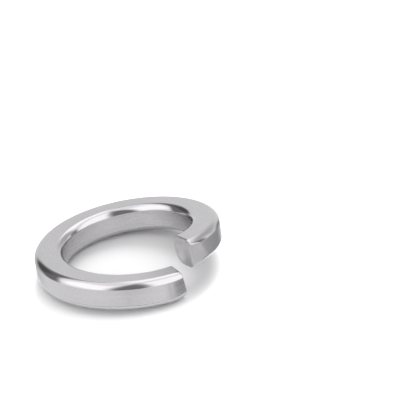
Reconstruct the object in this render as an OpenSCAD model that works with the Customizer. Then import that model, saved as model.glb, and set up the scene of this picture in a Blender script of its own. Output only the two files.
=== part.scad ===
// Spring lock washer of square-section stainless wire: one left-hand turn, cut through and sprung
// open, so that its two ends stand apart by about the wire's own thickness. Millimetres.
// The bore runs along Z with the origin at its centre, halfway up, and the cut faces +X.

/* [Ring] */
// Bore, for a 20 mm bolt
bore_d = 20.2; // [18.2:0.1:24.2]
// Width of the wire's section, measured outwards from the bore
wire_w = 4.5; // [3.8:0.1:6]
// Thickness of the wire's section, measured along the bore
wire_t = 4.5; // [3.8:0.1:6]
// Radius of the section's four rounded edges
edge_r = 0.9; // [0.3:0.05:1.4]
// Height of the free washer over both ends
free_h = 8.9; // [7.5:0.1:13]

/* [Cut] */
// Width of the cut, halfway through the wire
gap_w = 1.4; // [1.2:0.1:4]
// Lean of the low end's face off the bore axis, its foot towards the cut
low_lean = 8; // [0:1:20]
// Lean of the high end's face off the bore axis, its foot towards the cut
high_lean = 1; // [0:1:20]
// Turn of the low end's face off the radius, its inner edge towards the cut
low_skew = 14; // [-15:1:20]
// Turn of the high end's face off the radius, its inner edge away from the cut
high_skew = 10; // [-15:1:20]
// Radius that the lower bore edge reaches at the sheared ends, where the blade drags it over
roll_r = 1.8; // [0.9:0.05:2.2]
// Length of wire over which that edge rolls over
roll_len = 2.6; // [1:0.1:5]

/* [Smoothness] */
// Steps around the turn between the rolled ends
turn_steps = 108; // [60:12:120]
// Steps in each rolled end
roll_steps = 5; // [3:1:8]
// Steps in the quarter circle of each rounded edge
edge_steps = 4; // [2:1:5]

/* [Hidden] */
bore_r = bore_d / 2;
rim_r = bore_r + wire_w;
mean_r = bore_r + wire_w / 2;
gap_deg = gap_w / mean_r * 180 / PI;
// Climb per degree: the wire falls as it turns away from its high end
lead = -(free_h - wire_t) / (360 - gap_deg);
// Share of the turn that each rolled end takes
roll_share = roll_len / mean_r * 180 / PI / (360 - gap_deg);
// The swept wire stands proud of both round walls by this much, and the walls are then cut true
proud = 0.012;
$fn = 180;

// Quarter circle of radius r around [x, z], anticlockwise from the angle given
function corner(x, z, r, from) =
    [for (i = [0 : edge_steps]) let (a = from + 90 * i / edge_steps) [x + r * cos(a), z + r * sin(a)]];

// Outline of the wire's section as [distance from the bore axis, height], where the lower bore edge
// has a radius of its own
function section(low_bore_r) =
    let (x0 = bore_r - proud, x1 = rim_r + proud, z1 = wire_t / 2, r = edge_r, q = low_bore_r)
    concat(corner(x1 - r, z1 - r, r, 0), corner(x0 + r, z1 - r, r, 90),
        corner(x0 + q, q - z1, q, 180), corner(x1 - r, r - z1, r, 270));

// How far through the turn each ring of the sweep stands, from 0 at the high end to 1 at the low one
stations = concat(
    [for (i = [0 : roll_steps - 1]) roll_share * i / roll_steps],
    [for (i = [0 : turn_steps]) roll_share + (1 - 2 * roll_share) * i / turn_steps],
    [for (i = [1 : roll_steps]) 1 - roll_share + roll_share * i / roll_steps]);

// Radius of the lower bore edge at a station: it grows towards either end
function low_bore_r(t) =
    edge_r + (roll_r - edge_r) * pow(max(0, 1 - min(t, 1 - t) / roll_share), 2);

// Angle by which a point of the section is turned so that it lies in a leaning, skewed end face,
// closing in on it step by step
function onto_face(p, lean, skew, steps = 8, a = 0) =
    steps == 0 ? a
    : onto_face(p, lean, skew, steps - 1,
        asin(((p[0] * cos(a) - mean_r) * tan(skew) + (p[1] + lead * a) * tan(lean)) / p[0]));

// The wire: rings of section points carried down the helix from the high end's face to the low one's
module wire() {
    end_outline = section(roll_r);
    count = len(end_outline);
    first = [for (p = end_outline) gap_deg / 2 + onto_face(p, high_lean, -high_skew)];
    last = [for (p = end_outline) 360 - gap_deg / 2 + onto_face(p, -low_lean, -low_skew)];
    rings = [for (t = stations) let (outline = section(low_bore_r(t)))
        [for (j = [0 : count - 1]) let (a = first[j] + (last[j] - first[j]) * t, p = outline[j])
            [p[0] * cos(a), p[0] * sin(a), p[1] + lead * (a - 180)]]];
    final = (len(stations) - 1) * count;
    skin = [for (i = [0 : len(stations) - 2]) for (j = [0 : count - 1])
        let (a = i * count + j, b = i * count + (j + 1) % count)
        each [[a, b, b + count], [a, b + count, a + count]]];
    high_face = [for (j = [0 : count - 1]) count - 1 - j];
    low_face = [for (j = [0 : count - 1]) final + j];
    polyhedron([for (ring = rings) each ring], concat([high_face], skin, [low_face]), convexity = 6);
}

// The wire between two true cylinders: the bore wall and the rim
module washer() {
    color("silver")
        intersection() {
            wire();
            difference() {
                cylinder(r = rim_r, h = free_h + 2 * wire_t, center = true);
                cylinder(r = bore_r, h = free_h + 3 * wire_t, center = true);
            }
        }
}

washer();
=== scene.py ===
"""Looks for the spring lock washer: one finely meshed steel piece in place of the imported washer, a pale
floor that it rests on, a soft studio and the photograph's camera. Sizes are in millimetres, as in the
part's source, and become metres where an object is made of them."""
import math
from typing import NamedTuple

import bpy
import numpy as np
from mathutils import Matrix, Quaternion, Vector


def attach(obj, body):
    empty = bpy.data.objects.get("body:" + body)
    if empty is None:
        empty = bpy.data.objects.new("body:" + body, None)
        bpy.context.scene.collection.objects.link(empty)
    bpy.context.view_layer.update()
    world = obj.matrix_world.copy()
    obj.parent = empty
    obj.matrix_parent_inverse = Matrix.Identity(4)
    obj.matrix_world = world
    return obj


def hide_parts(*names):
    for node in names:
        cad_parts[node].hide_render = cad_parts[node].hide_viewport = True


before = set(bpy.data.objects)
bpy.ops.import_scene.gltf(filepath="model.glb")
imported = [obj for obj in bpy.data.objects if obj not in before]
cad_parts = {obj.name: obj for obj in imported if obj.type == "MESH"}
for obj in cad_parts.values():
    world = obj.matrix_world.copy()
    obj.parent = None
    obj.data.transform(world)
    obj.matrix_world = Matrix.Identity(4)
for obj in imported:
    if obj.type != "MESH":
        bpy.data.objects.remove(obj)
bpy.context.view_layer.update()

MM = 0.001
AWAY = 99.0  # so far from an end of the wire that the end changes nothing

# The part's own sizes
BORE_R, WIRE_W, WIRE_T, EDGE_R, FREE_H = 10.1, 4.5, 4.5, 0.9, 8.9
GAP_W, ROLL_R, ROLL_LEN = 1.4, 1.8, 2.6
LOW_LEAN, LOW_SKEW, HIGH_LEAN, HIGH_SKEW = (math.radians(v) for v in (8, 14, 1, 10))
RIM_R = BORE_R + WIRE_W
MEAN_R = BORE_R + WIRE_W / 2
GAP = GAP_W / MEAN_R
TURN = 2 * math.pi - GAP
LEAD = -(FREE_H - WIRE_T) / TURN
WIRE_LENGTH = MEAN_R * TURN

# Each rounded edge is a bow between these slopes off the wall, with a tight arc at both its sides
BOW_START, BOW_END = math.radians(18), math.radians(80)
CREASE_R = 0.10  # as a share of the bow's own radius

# How far the rounded edges reach along the flat and down the wall
OUTER_TOP = np.array((1.06, 0.96))
INNER_TOP = np.array((0.95, 0.97))
OUTER_LOW = np.array((0.92, 0.92))

# What an edge gains at an end of the wire, and the length over which the gain fades
LOW_TOP_GAIN, LOW_TOP_LEN = np.array((-0.2, -0.1)), 2.4
LOW_FOOT_GAIN, LOW_FOOT_LEN = np.array((1.2, 0.5)), 2.6
HIGH_TOP_GAIN, HIGH_FOOT_GAIN, HIGH_LEN = np.array((0, -0.1)), np.array((-0.3, -0.3)), 3.0

# The flat patch on the raised end's rim: its length at the top, how much longer it gets for each
# millimetre down, and how much deeper for each millimetre towards the end
PATCH_LEN, PATCH_SLANT, PATCH_DEPTH = 0.95, 0.62, 0.13

# The low end's rim rolls in over a short length, with a ridge across it. Both fade fast inwards from the
# rim's wall.
RIM_ROLL, RIM_ROLL_LEN, RIM_FOCUS = 0.02, 2.9, 6
RIDGE, RIDGE_AT, RIDGE_WIDTH = 0.012, 2.0, 0.4

# The cut faces
BREAK, TOP_BREAK, TOP_FOCUS = 0.12, 0.26, 4  # radius of the broken edge all round, and along the top
CROWN_SIDE, CROWN_UP, CROWN_R = 0.05, 0.03, 2.2  # how far the crown falls off, at this radius
HIGH_TEAR, LOW_TEAR = (0.07, -0.9, 0.16), (0.06, -0.4, 0.2)  # depth, height off the middle, and width
RIM_STEP = (0.03, -0.55, 0.12)  # the same, but sideways, for the step towards the rim
DRAG_COARSE, DRAG_FINE = 0.006, 0.004  # depth of the drag marks
MARKS_END, MARKS_FADE = 2.0, 0.5  # the marks end this far from the middle, and fade before that

# How finely the mesh is made: round the section, over each cut face, and along the wire
BOW_PARTS, CREASE_PARTS, FLAT_PARTS, WALL_PARTS = 8, 3, 12, 12
CAP_RINGS, CAP_SPREAD, BREAK_RINGS = 14, 0.85, 4
SHEARED_RINGS = CAP_RINGS + 1  # the cut faces' own material ends just past the start of the break
END_ZONE, END_ZONE_RINGS, MIDDLE_RINGS = 4.2, 60, 420  # an end zone's length, its rings, and the rest
FACE_PASSES = 10  # an angle in a face settles in fewer

# What the materials read: how sharply a rounded edge begins, and how far from the low end the top gets
# painted shade
EDGE_FOCUS = 0.3
LOW_SHADE_LEN, LOW_SHADE_POWER = 6.5, 1.3
POLISH_RELIEF, SHEARED_RELIEF = 0.0045, 0.02  # depth of their fine relief

# The floor touches the washer where it comes to rest: at the foot of its low end and across from it
FLOOR_UP = Vector((0.08691, -0.05934, 0.99445))
FLOOR_DROP = 3.46
FLOOR_R, FLOOR_PARTS = 3000, 128
NEAR_FLOOR_R = 16  # what the steel mirrors of it
WHITE_FROM, WHITE_TO = 12.2, 16.6  # the paper's painted shade whitens between these distances from the bore's middle

# The photograph's camera, in the part's frame
CAMERA_AT = Vector((240.605, -184.354, 128.335))
CAMERA_TURN = Quaternion((0.771933, 0.489815, 0.270991, 0.301271))
CAMERA_LENS, CAMERA_SENSOR = 191.074, 36
CAMERA_DIP = math.radians(24)  # how far it looks down on the photograph's floor

LAMP_DISTANCE, LAMP_SIZE = 500, 300


# shape


def near(distance, reach, power=2):
    """1 at an end of the wire, fading to 0 at this distance from it."""
    return max(0.0, 1 - distance / reach) ** power


def run_along(points):
    """How far along the line through them each point lies."""
    return np.concatenate([[0.0], np.cumsum(np.linalg.norm(np.diff(points, axis=0), axis=1))])


def unit_bevel():
    """A bowed bevel from (0, -1) on the wall to (-1, 0) on the flat, and its outward directions, which
    turn evenly along it, so that an inset of it never folds over."""
    arcs = (
        (CREASE_R, BOW_START, CREASE_PARTS),
        (1.0, BOW_END - BOW_START, BOW_PARTS),
        (CREASE_R, math.pi / 2 - BOW_END, CREASE_PARTS),
    )
    points, slope = [(0.0, 0.0)], 0.0
    for radius, turn, parts in arcs:
        bend = turn / parts
        chord = 2 * radius * math.sin(bend / 2)
        for _ in range(parts):
            x, z = points[-1]
            middle = slope + bend / 2
            points.append((x - chord * math.sin(middle), z + chord * math.cos(middle)))
            slope += bend
    across, up_wall = -points[-1][0], points[-1][1]
    points = np.array(points) / (across, up_wall) - (0, 1)
    run = run_along(points)
    turned = math.pi / 2 * run / run[-1]
    return points, np.stack([np.cos(turned), np.sin(turned)], -1)


BEVEL, BEVEL_WAYS = unit_bevel()


def legs(high, low):
    """How far each rounded edge reaches along the flat and down the wall, at these distances from the
    high and the low end. Outer top, inner top, inner bottom, outer bottom."""
    outer_top = OUTER_TOP + LOW_TOP_GAIN * near(low, LOW_TOP_LEN) + HIGH_TOP_GAIN * near(high, HIGH_LEN)
    rolled = EDGE_R + (ROLL_R - EDGE_R) * near(min(high, low), ROLL_LEN)
    outer_low = OUTER_LOW + LOW_FOOT_GAIN * near(low, LOW_FOOT_LEN) + HIGH_FOOT_GAIN * near(high, HIGH_LEN)
    return outer_top, INNER_TOP, np.array((rolled, rolled)), outer_low


def outline(high, low):
    """The section at these distances from the two ends: points (distance from the axis, height) and
    their outward directions."""
    # The bevel is turned into each corner; every other one runs from the flat to the wall
    corners = (
        ((RIM_R, WIRE_T / 2), (1, 1), 1),
        ((BORE_R, WIRE_T / 2), (-1, 1), -1),
        ((BORE_R, -WIRE_T / 2), (-1, -1), 1),
        ((RIM_R, -WIRE_T / 2), (1, -1), -1),
    )
    bevels = []
    for (corner, sign, order), reach in zip(corners, legs(high, low)):
        ways = BEVEL_WAYS / reach
        ways = ways / np.linalg.norm(ways, axis=1)[:, None] * sign
        bevels.append(((BEVEL * reach * sign + corner)[::order], ways[::order]))

    points, directions = [], []
    for k, (bevel, ways) in enumerate(bevels):
        following = bevels[(k + 1) % 4][0][0]
        parts = (FLAT_PARTS, WALL_PARTS)[k % 2]
        share = (np.arange(1, parts) / parts)[:, None]
        points += [bevel, bevel[-1] + (following - bevel[-1]) * share]
        directions += [ways, np.repeat(ways[-1:], parts - 1, 0)]
    return np.concatenate(points), np.concatenate(directions)


def zones():
    """Per section point: 1 in a rounded edge, 1 on a wall, and 1 on the bore's wall."""
    bow = np.sin(np.linspace(0, math.pi, len(BEVEL))) ** EDGE_FOCUS
    edge, wall, bore = [], [], []
    for k, order in enumerate((1, -1, 1, -1)):
        between = np.ones((FLAT_PARTS, WALL_PARTS)[k % 2] - 1)
        edge += [bow, 0 * between]
        wall += [BEVEL_WAYS[::order, 0], (k % 2) * between]
        bore += [0 * bow, (k == 1) * between]
    return np.concatenate(edge), np.concatenate(wall), np.concatenate(bore)


def onto_face(p, lean, skew):
    """Angle that turns each section point into a leaning, skewed end face."""
    x, z = p[:, 0], p[:, 1]
    a = np.zeros(len(p))
    for _ in range(FACE_PASSES):
        out = x * np.cos(a) - MEAN_R
        a = np.arcsin((out * math.tan(skew) + (z + LEAD * a) * math.tan(lean)) / x)
    return a


def face_angle(p, high):
    """Angle of each section point in the raised end's face, or in the low one's."""
    if high:
        return GAP / 2 + onto_face(p, HIGH_LEAN, -HIGH_SKEW)
    return 2 * math.pi - GAP / 2 + onto_face(p, -LOW_LEAN, -LOW_SKEW)


def placed(p, angle):
    """Section points carried round the helix to their angles."""
    x, z = p[:, 0], p[:, 1]
    return np.stack([x * np.cos(angle), x * np.sin(angle), z + LEAD * (angle - math.pi)], -1)


def sheared_in(p, high, low):
    """What the shear and the coiling left near the two ends, on section points (distance from the axis,
    height) at these distances from the ends: a flat patch on the raised end's rim, bounded by a slanting
    edge, and the low end's rolled rim."""
    x, z = p[:, 0], p[:, 1]
    into = np.clip(PATCH_LEN + PATCH_SLANT * (WIRE_T / 2 - z) - high, 0, None)
    x = np.minimum(x, RIM_R - PATCH_DEPTH * into + into**2 / (2 * RIM_R))
    on_rim = np.clip((x - MEAN_R) / (WIRE_W / 2), 0, 1) ** RIM_FOCUS
    ridge = RIDGE * math.exp(-(((low - RIDGE_AT) / RIDGE_WIDTH) ** 2))
    x = x - on_rim * (RIM_ROLL * near(low, RIM_ROLL_LEN) + ridge)
    return np.stack([x, z], -1)


def step(place, depth, line, width):
    """A step in a face: this deep where the place is below the line, and 0 above it."""
    return depth / (1 + np.exp((place - line) / width))


def face_relief(flat, high):
    """Depth of the marks on an end face, by place across it: a gentle crown, the step down to the torn
    part and one towards the rim, and drag marks that follow the blade."""
    u, v = flat[:, 0], flat[:, 1]
    crown = CROWN_SIDE * (u / CROWN_R) ** 2 + CROWN_UP * (v / CROWN_R) ** 2
    tear = step(v + 0.12 * np.sin(u * 2.3), *HIGH_TEAR) if high else step(v, *LOW_TEAR)
    rim_side = step(-u - 0.1 * v, *RIM_STEP)
    drag = DRAG_COARSE * np.sin(u * 13 + 0.8 * np.sin(v * 1.7)) + DRAG_FINE * np.sin(u * 29 + 1.3 + 0.5 * v)
    fade = np.clip((MARKS_END - np.maximum(np.abs(u), np.abs(v))) / MARKS_FADE, 0, 1)
    return crown + fade * (tear + rim_side + drag)


class Ring(NamedTuple):
    """One ring of the mesh: its points, their coordinates for the materials (along the wire and round it,
    or across an end face), whether it is on the wire, and how much painted shade its top gets there."""

    points: np.ndarray
    coords: np.ndarray
    on_wire: bool = False
    low_shade: float = 0.0


def end_rings(high):
    """The middle point of an end face, the rings from there out over its broken edge, and the angle of
    each point where the wire begins."""
    ends = (0, AWAY) if high else (AWAY, 0)
    p, ways = outline(*ends)
    p = sheared_in(p, *ends)
    radius = BREAK + (TOP_BREAK - BREAK) * np.clip(ways[:, 1:], 0, 1) ** TOP_FOCUS
    inset = p - ways * radius
    middle = inset.mean(0)
    into_wire = 1 if high else -1

    def sunk_angle(section, depth):
        return face_angle(section, high) + into_wire * depth / section[:, 0]

    rings = []
    for k in range(1, CAP_RINGS + 1):
        section = middle + (inset - middle) * (k / CAP_RINGS) ** CAP_SPREAD
        angle = sunk_angle(section, face_relief(section - middle, high))
        rings.append(Ring(placed(section, angle), section - middle))
    relief = face_relief(inset - middle, high)
    for k in range(1, BREAK_RINGS + 1):
        a = math.pi / 2 * k / (BREAK_RINGS + 1)
        section = p - ways * radius * (1 - math.sin(a))
        angle = sunk_angle(section, relief + radius[:, 0] * (1 - math.cos(a)))
        rings.append(Ring(placed(section, angle), section - middle))
    centre = placed(middle[None], sunk_angle(middle[None], face_relief(np.zeros((1, 2)), high)))
    return centre, rings, sunk_angle(p, relief + radius[:, 0])


def stations():
    """Where the wire's rings stand, as shares of its length: close together near the two ends."""
    dense = END_ZONE / WIRE_LENGTH
    ends = np.linspace(0, dense, END_ZONE_RINGS, endpoint=False)
    return np.concatenate([ends, np.linspace(dense, 1 - dense, MIDDLE_RINGS), 1 - ends[::-1]])


def wire_ring(share, first, last, girth):
    """The wire's ring at this share of its length, between the angles of its first and last points."""
    high, low = share * WIRE_LENGTH, (1 - share) * WIRE_LENGTH
    section = sheared_in(outline(high, low)[0], high, low)
    points = placed(section, first + (last - first) * share)
    coords = np.stack([np.full(len(section), high), girth], -1)
    return Ring(points, coords, on_wire=True, low_shade=near(low, LOW_SHADE_LEN, LOW_SHADE_POWER))


def tube_faces(total, count):
    """Quads between so many rings of so many points, and a fan over each end, whose middle points come
    after all the rings."""
    i, j = np.meshgrid(np.arange(total - 1), np.arange(count), indexing="ij")
    a = i * count + j
    b = i * count + (j + 1) % count
    quads = np.stack([a, a + count, b + count, b], -1).reshape(-1, 4)
    middle, last = total * count, (total - 1) * count
    fan = [(middle, k, (k + 1) % count) for k in range(count)]
    fan += [(middle + 1, last + (k + 1) % count, last + k) for k in range(count)]
    return quads.tolist() + fan


def lay_coordinates(mesh, rings, full_girth):
    """The rings' coordinates, in millimetres, as a UV map. Where a ring of the wire closes, its first
    point is met again, a full girth on."""
    corners = np.empty(len(mesh.loops), np.int32)
    mesh.loops.foreach_get("vertex_index", corners)
    coords = np.concatenate([ring.coords for ring in rings] + [np.zeros((2, 2))])[corners]

    count = len(rings[0].points)
    closing_quads = np.arange(count - 1, (len(rings) - 1) * count, count)
    closing = np.concatenate([4 * closing_quads + 2, 4 * closing_quads + 3])
    on_wire = np.repeat([ring.on_wire for ring in rings], count)
    coords[closing[on_wire[corners[closing]]], 1] = full_girth
    mesh.uv_layers.new(name="wire_mm").data.foreach_set("uv", coords.astype(np.float32).reshape(-1))


def mark(mesh, name, values):
    """A number for each point of the rings, which the materials read. The two middle points get 0."""
    values = np.concatenate([values, [0, 0]]).astype(np.float32)
    mesh.attributes.new(name, "FLOAT", "POINT").data.foreach_set("value", values)


def washer_mesh():
    """The whole washer, closed: the raised end's face, the wire, and the low end's face."""
    high_centre, high_cap, first = end_rings(True)
    low_centre, low_cap, last = end_rings(False)
    body = outline(AWAY, AWAY)[0]
    girth = run_along(np.concatenate([body, body[:1]]))
    wire = [wire_ring(share, first, last, girth[:-1]) for share in stations()]
    rings = high_cap + wire + low_cap[::-1]
    total, count = len(rings), len(body)

    verts = np.concatenate([ring.points for ring in rings] + [high_centre, low_centre]) * MM
    mesh = bpy.data.meshes.new("washer_steel")
    mesh.from_pydata(verts.tolist(), [], tube_faces(total, count))
    mesh.polygons.foreach_set("use_smooth", np.ones(len(mesh.polygons), bool))
    lay_coordinates(mesh, rings, girth[-1])
    for name, values in zip(("edge", "wall", "bore"), zones()):
        mark(mesh, name, np.tile(values, total))
    # How much painted shade the top gets near the low end
    mark(mesh, "low_shade", np.repeat([ring.low_shade for ring in rings], count))

    # Faces of the cut ends take the second material
    ring_of = np.repeat(np.arange(total - 1), count)
    sheared_face = np.minimum(ring_of, total - 2 - ring_of) < SHEARED_RINGS
    slots = np.concatenate([sheared_face, np.ones(2 * count)]).astype(np.int32)
    mesh.polygons.foreach_set("material_index", slots)
    mesh.update()
    return mesh


# materials


class Nodes:
    """Builds a node tree. A call makes a node, feeds its inputs with values or sockets by name or index,
    and gives one of its outputs."""

    def __init__(self, tree):
        self.tree = tree
        tree.nodes.clear()

    def __call__(self, kind, inputs=(), out=0, **props):
        node = self.tree.nodes.new(kind)
        for key, value in props.items():
            setattr(node, key, value)
        for key, value in dict(inputs).items():
            socket = node.inputs[key]
            if isinstance(value, bpy.types.NodeSocket):
                self.tree.links.new(value, socket)
            else:
                socket.default_value = value
        return node.outputs[out] if node.outputs else None

    def math(self, op, *values):
        """One piece of arithmetic on numbers or sockets."""
        return self("ShaderNodeMath", dict(enumerate(values)), operation=op)

    def weighted(self, *terms):
        """The sum of values, each times its weight."""
        total = 0.0
        for value, weight in terms:
            total = self.math("MULTIPLY_ADD", value, weight, total)
        return total

    def span(self, value, low, high, to_low=0.0, to_high=1.0):
        """A smooth step from one number to another, as the value goes from low to high."""
        inputs = {"Value": value, "From Min": low, "From Max": high, "To Min": to_low, "To Max": to_high}
        return self("ShaderNodeMapRange", inputs, interpolation_type="SMOOTHSTEP")

    def noise(self, vector, scale, move=(0, 0, 0), detail=2.0, rough=0.5):
        """Noise with about this many lumps for each unit along each axis."""
        place = self("ShaderNodeMapping", {"Vector": vector, "Scale": scale, "Location": move})
        inputs = {"Vector": place, "Scale": 1.0, "Detail": detail, "Roughness": rough}
        return self("ShaderNodeTexNoise", inputs)

    def attribute(self, name):
        """A number that the mesh carries for each point."""
        return self("ShaderNodeAttribute", attribute_name=name, out=2)

    def mix(self, factor, a, b):
        """A colour between a, a colour or a socket, and the colour b."""
        first = (*a, 1) if isinstance(a, tuple) else a
        return self("ShaderNodeMix", {0: factor, 6: first, 7: (*b, 1)}, out=2, data_type="RGBA")

    def bump(self, height, depth):
        """A fine relief; depth is in millimetres."""
        return self("ShaderNodeBump", {"Strength": 1.0, "Distance": depth * MM, "Height": height})


def new_material(name):
    """An empty material and the hand that builds its nodes."""
    material = bpy.data.materials.new(name)
    material.use_nodes = True
    return material, Nodes(material.node_tree)


def steel():
    """Polished stainless steel: bright rounded edges, flats and walls with faint marks along the wire, and
    painted shade on the bore's wall and on the top near the low end.
    """
    warm, cool, shade = (0.612, 0.596, 0.608), (0.598, 0.590, 0.606), (0.565, 0.556, 0.570)
    bore_painted_shade, low_shade_grey = (0.45, 0.44, 0.45), (0.43, 0.42, 0.43)
    material, n = new_material("polished_stainless")
    uv = n("ShaderNodeUVMap", uv_map="wire_mm")
    edge, wall, bore, low_shade = (n.attribute(name) for name in ("edge", "wall", "bore", "low_shade"))

    brush = n.noise(uv, (0.07, 6.0, 1), detail=3.0, rough=0.6)
    fine = n.noise(uv, (0.25, 16.0, 1), (7, 3, 0))
    cloud = n.noise(uv, (0.12, 0.5, 1), (3, 11, 0))
    wave = n.noise(uv, (0.35, 0.9, 1), (31, 5, 0))
    tint = n.noise(uv, (0.12, 0.4, 1), (19, 2, 0))

    lines = n.math("MULTIPLY", n.weighted((brush, 0.2), (fine, 0.06)), n.span(wall, 0, 1, 1.0, 0.25))
    relief = n.bump(n.weighted((lines, 1.0), (wave, 1.6), (cloud, 2.2)), POLISH_RELIEF)
    matte = n.span(cloud, 0.3, 0.7, 0.25, 0.31)
    rough = n.weighted((matte, 1.0), (n.span(brush, 0.3, 0.7, -0.03, 0.03), 1.0), (edge, -0.19))

    flat = n.math("SUBTRACT", n.math("SUBTRACT", 1.0, wall), edge)
    colour = n.mix(n.span(tint, 0.35, 0.65), warm, cool)
    colour = n.mix(n.span(cloud, 0.4, 0.75, 0.0, 0.4), colour, shade)
    # Painted shade: the bore's wall is darkened, standing in for the shaded floor it mirrors inside the
    # ring
    colour = n.mix(n.math("MULTIPLY", bore, 0.4), colour, bore_painted_shade)
    # Painted shade: the top darkens towards the low end, standing in for the raised end's dark face
    # mirrored there
    colour = n.mix(n.math("MULTIPLY", low_shade, n.span(flat, 0.2, 0.8)), colour, low_shade_grey)
    inputs = {"Base Color": colour, "Metallic": 1.0, "Roughness": rough, "Normal": relief}
    n("ShaderNodeOutputMaterial", {"Surface": n("ShaderNodeBsdfPrincipled", inputs)})
    return material


def sheared():
    """The cut ends: matte grey metal with faint drag marks down the blade's way and a grainy break."""
    dark, light = (0.56, 0.55, 0.56), (0.66, 0.65, 0.655)
    material, n = new_material("sheared_stainless")
    uv = n("ShaderNodeUVMap", uv_map="wire_mm")
    drag = n.noise(uv, (3.2, 0.35, 1), detail=3.0, rough=0.6)
    grain = n.noise(uv, (6.0, 5.0, 1), (5, 9, 0), detail=3.0, rough=0.6)
    cloud = n.noise(uv, (0.8, 0.7, 1), (2, 4, 0))
    relief = n.bump(n.weighted((drag, 1.0), (grain, 0.35), (cloud, 2.0)), SHEARED_RELIEF)
    rough = n.span(grain, 0.3, 0.7, 0.38, 0.5)
    colour = n.mix(n.span(cloud, 0.3, 0.7), dark, light)
    inputs = {"Base Color": colour, "Metallic": 1.0, "Roughness": rough, "Normal": relief}
    n("ShaderNodeOutputMaterial", {"Surface": n("ShaderNodeBsdfPrincipled", inputs)})
    return material


def paper():
    """White paper, brightest outside the washer: within and close round it, the paper is painted a darker
    grey as shade.
    """
    painted_shade_grey, painted_shade_lumps, white = (0.625, 0.623, 0.63), (0.635, 0.633, 0.64), (0.975, 0.975, 0.98)
    material, n = new_material("white_paper")
    place = n("ShaderNodeTexCoord", out=3)
    away = n("ShaderNodeVectorMath", {0: place}, out=1, operation="LENGTH")
    shade = n.mix(n.noise(place, (60, 60, 60)), painted_shade_grey, painted_shade_lumps)
    # Painted shade: the paper is grey within and close round the washer, and whitens outside it
    colour = n.mix(n.span(away, WHITE_FROM * MM, WHITE_TO * MM), shade, white)
    inputs = {"Base Color": colour, "Roughness": 0.7, "Specular IOR Level": 0.2}
    n("ShaderNodeOutputMaterial", {"Surface": n("ShaderNodeBsdfPrincipled", inputs)})
    return material


# piece, floor, camera, light

up = FLOOR_UP.normalized()
view = CAMERA_TURN @ Vector((0, 0, -1))
ahead = (view - up * view.dot(up)).normalized()
right = ahead.cross(up)


def new_object(name, data):
    """A new object in the scene."""
    thing = bpy.data.objects.new(name, data)
    bpy.context.scene.collection.objects.link(thing)
    return thing


def floor_ring(name, inner, outer, material):
    """A flat ring of floor round the washer, or a disc when inner is 0."""
    turns = [2 * math.pi * k / FLOOR_PARTS for k in range(FLOOR_PARTS)]
    ways = [right * math.cos(turn) + ahead * math.sin(turn) for turn in turns]
    if inner:
        verts = [(way * r - up * FLOOR_DROP) * MM for r in (inner, outer) for way in ways]
        after = [*range(1, FLOOR_PARTS), 0]
        faces = [(k, FLOOR_PARTS + k, FLOOR_PARTS + after[k], after[k]) for k in range(FLOOR_PARTS)]
    else:
        verts = [(way * outer - up * FLOOR_DROP) * MM for way in ways]
        faces = [tuple(range(FLOOR_PARTS))]
    mesh = bpy.data.meshes.new(name)
    mesh.from_pydata(verts, [], faces)
    mesh.materials.append(material)
    ring = new_object(name, mesh)
    return ring


def lamp(name, way, watts):
    """A broad round lamp this way from the washer. It lights the floor, and the steel doesn't mirror it."""
    data = bpy.data.lights.new(name, "AREA")
    data.shape = "DISK"
    data.size = LAMP_SIZE * MM
    data.energy = watts
    light = new_object(name, data)
    light.location = way.normalized() * LAMP_DISTANCE * MM
    light.rotation_mode = "QUATERNION"
    light.rotation_quaternion = light.location.to_track_quat("Z", "Y")
    light.visible_glossy = False


class Sky:
    """A sky painted in soft-edged patches, each over the ones before it. Places and sizes are in degrees:
    side is 0 away from the camera and grows to the right, height is 0 at the level of the floor, and a
    patch is given by its middle and by half its width and half its height."""

    def __init__(self, tree, sky_ahead, sky_up):
        self.nodes = n = Nodes(tree)
        self.way = n("ShaderNodeTexCoord")
        rise = n.math("ARCSINE", self.along(sky_up))
        turned = n.math("ARCTAN2", self.along(sky_ahead.cross(sky_up)), self.along(sky_ahead))
        self.height = n.math("MULTIPLY", rise, 180 / math.pi)
        self.side = n.math("MULTIPLY", turned, 180 / math.pi)
        self.light = n.span(self.height, 35, 70, 1.15, 1.17)  # a white tent, a little brighter overhead

    def along(self, axis):
        """How much of this direction goes along an axis."""
        inputs = {0: self.way, 1: tuple(axis)}
        return self.nodes("ShaderNodeVectorMath", inputs, out=1, operation="DOT_PRODUCT")

    def offset(self, side, height):
        """How far to the right of a place and above it this direction is."""
        n = self.nodes
        x = n.math("WRAP", n.math("SUBTRACT", self.side, side), 180.0, -180.0)
        return x, n.math("SUBTRACT", self.height, height)

    def paint(self, inside, light):
        """This much light where inside is 1, over what is there."""
        inputs = {0: inside, 2: self.light, 3: light}
        self.light = self.nodes("ShaderNodeMix", inputs, data_type="FLOAT")

    def box(self, side, height, wide, tall, fade, light, slant=0.0):
        """A box that fades over so many degrees, and leans to the right by slant for each degree up."""
        n = self.nodes
        x, y = self.offset(side, height)
        x = n.math("WRAP", n.math("SUBTRACT", x, n.math("MULTIPLY", y, slant)), 180.0, -180.0)
        within = [
            n.span(n.math("ABSOLUTE", off), half - fade / 2, half + fade / 2, 1.0, 0.0)
            for off, half in ((x, wide), (y, tall))
        ]
        self.paint(n.math("MULTIPLY", *within), light)

    def oval(self, side, height, wide, tall, fade, light, turn=0.0):
        """An oval, turned anticlockwise, that fades over this share of its size."""
        n = self.nodes
        x, y = self.offset(side, height)
        c, s = math.cos(math.radians(turn)), math.sin(math.radians(turn))
        u = n.math("ADD", n.math("MULTIPLY", x, c / wide), n.math("MULTIPLY", y, s / wide))
        v = n.math("SUBTRACT", n.math("MULTIPLY", y, c / tall), n.math("MULTIPLY", x, s / tall))
        reach = n.math("SQRT", n.math("ADD", n.math("MULTIPLY", u, u), n.math("MULTIPLY", v, v)))
        self.paint(n.span(reach, 1 - fade, 1 + fade, 1.0, 0.0), light)


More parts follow.
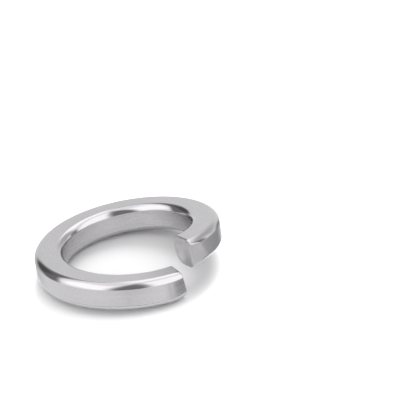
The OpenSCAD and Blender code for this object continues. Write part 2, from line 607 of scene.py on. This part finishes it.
def studio():
    """A soft white studio as a sky, level with the photograph's own floor."""
    world = bpy.data.worlds.new("studio")
    world.use_nodes = True
    bpy.context.scene.world = world
    sky_up = CAMERA_TURN @ Vector((0, math.cos(CAMERA_DIP), math.sin(CAMERA_DIP)))
    sky_ahead = (view - sky_up * view.dot(sky_up)).normalized()
    sky = Sky(world.node_tree, sky_ahead, sky_up)

    # The backdrop, then the soft boxes on the right, overhead and on the left
    sky.box(side=12, height=12, wide=56, tall=34, fade=14, light=0.86)
    sky.box(side=124, height=39, wide=34, tall=37, fade=12, light=1.55)
    sky.box(side=5, height=62, wide=50, tall=14, fade=12, light=1.15)
    sky.box(side=-135, height=35, wide=49, tall=25, fade=18, light=1.62, slant=0.42)

    # The dark of the room behind the camera, and the floor far from the washer
    sky.oval(side=181, height=23, wide=25, tall=60, fade=0.45, light=0.24, turn=-1)
    sky.box(side=0, height=-60, wide=180, tall=48, fade=8, light=1.00)

    # Dark screens that slant across the left, over a dimmer stretch where the floor begins
    sky.oval(side=-55, height=-7, wide=28, tall=11, fade=0.87, light=0.60, turn=-18)
    sky.oval(side=-60.5, height=20, wide=38.5, tall=19, fade=0.24, light=0.22, turn=46.6)
    sky.oval(side=-22, height=54, wide=30, tall=3.6, fade=0.30, light=0.30, turn=54)
    sky.oval(side=-51, height=14.7, wide=19.6, tall=13.4, fade=0.46, light=0.11, turn=105)

    # The light high on the right, and the dimmer right side below it, with one light spot and one dark
    sky.oval(side=25, height=52, wide=50, tall=22, fade=0.25, light=1.60, turn=-26)
    sky.oval(side=47, height=31, wide=34, tall=17, fade=0.44, light=0.61, turn=-2)
    sky.oval(side=64, height=14, wide=9, tall=12, fade=0.40, light=0.95)
    sky.oval(side=77, height=18, wide=9, tall=17, fade=0.35, light=0.30)

    # Shades on the floor to the right, in front, and all round under the washer
    sky.oval(side=90, height=-16, wide=15, tall=15, fade=0.30, light=0.82)
    sky.oval(side=58, height=-18, wide=20, tall=16, fade=0.20, light=0.42)
    sky.oval(side=34, height=-14, wide=12, tall=20, fade=0.30, light=0.36)
    sky.oval(side=113, height=-16, wide=13, tall=30, fade=0.35, light=0.34)
    sky.oval(side=-20, height=-30, wide=26, tall=14, fade=0.50, light=0.72)
    sky.box(side=0, height=-90, wide=180, tall=50, fade=20, light=0.55)

    shader = sky.nodes("ShaderNodeBackground", {"Color": (1, 1, 1, 1), "Strength": sky.light})
    sky.nodes("ShaderNodeOutputWorld", {"Surface": shader})


washer = new_object("washer_steel", washer_mesh())
washer.data.materials.append(steel())
washer.data.materials.append(sheared())
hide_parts("washer")
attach(washer, "root")

# The steel mirrors the floor close by and the studio beyond it
table = paper()
floor_ring("floor_near", 0, NEAR_FLOOR_R, table)
floor_ring("floor_far", NEAR_FLOOR_R, FLOOR_R, table).visible_glossy = False

camera = new_object("camera", bpy.data.cameras.new("camera"))
camera.location = CAMERA_AT * MM
camera.rotation_mode = "QUATERNION"
camera.rotation_quaternion = CAMERA_TURN
camera.data.sensor_width = CAMERA_SENSOR
camera.data.lens = CAMERA_LENS
camera.data.clip_start = 10 * MM
bpy.context.scene.camera = camera

studio()
lamp("back_lamp", up * 0.66 + ahead * 0.70 + right * 0.20, watts=2.2)
lamp("front_lamp", up * 0.40 - ahead * 0.92, watts=1.1)
bpy.context.scene.view_settings.view_transform = "Standard"
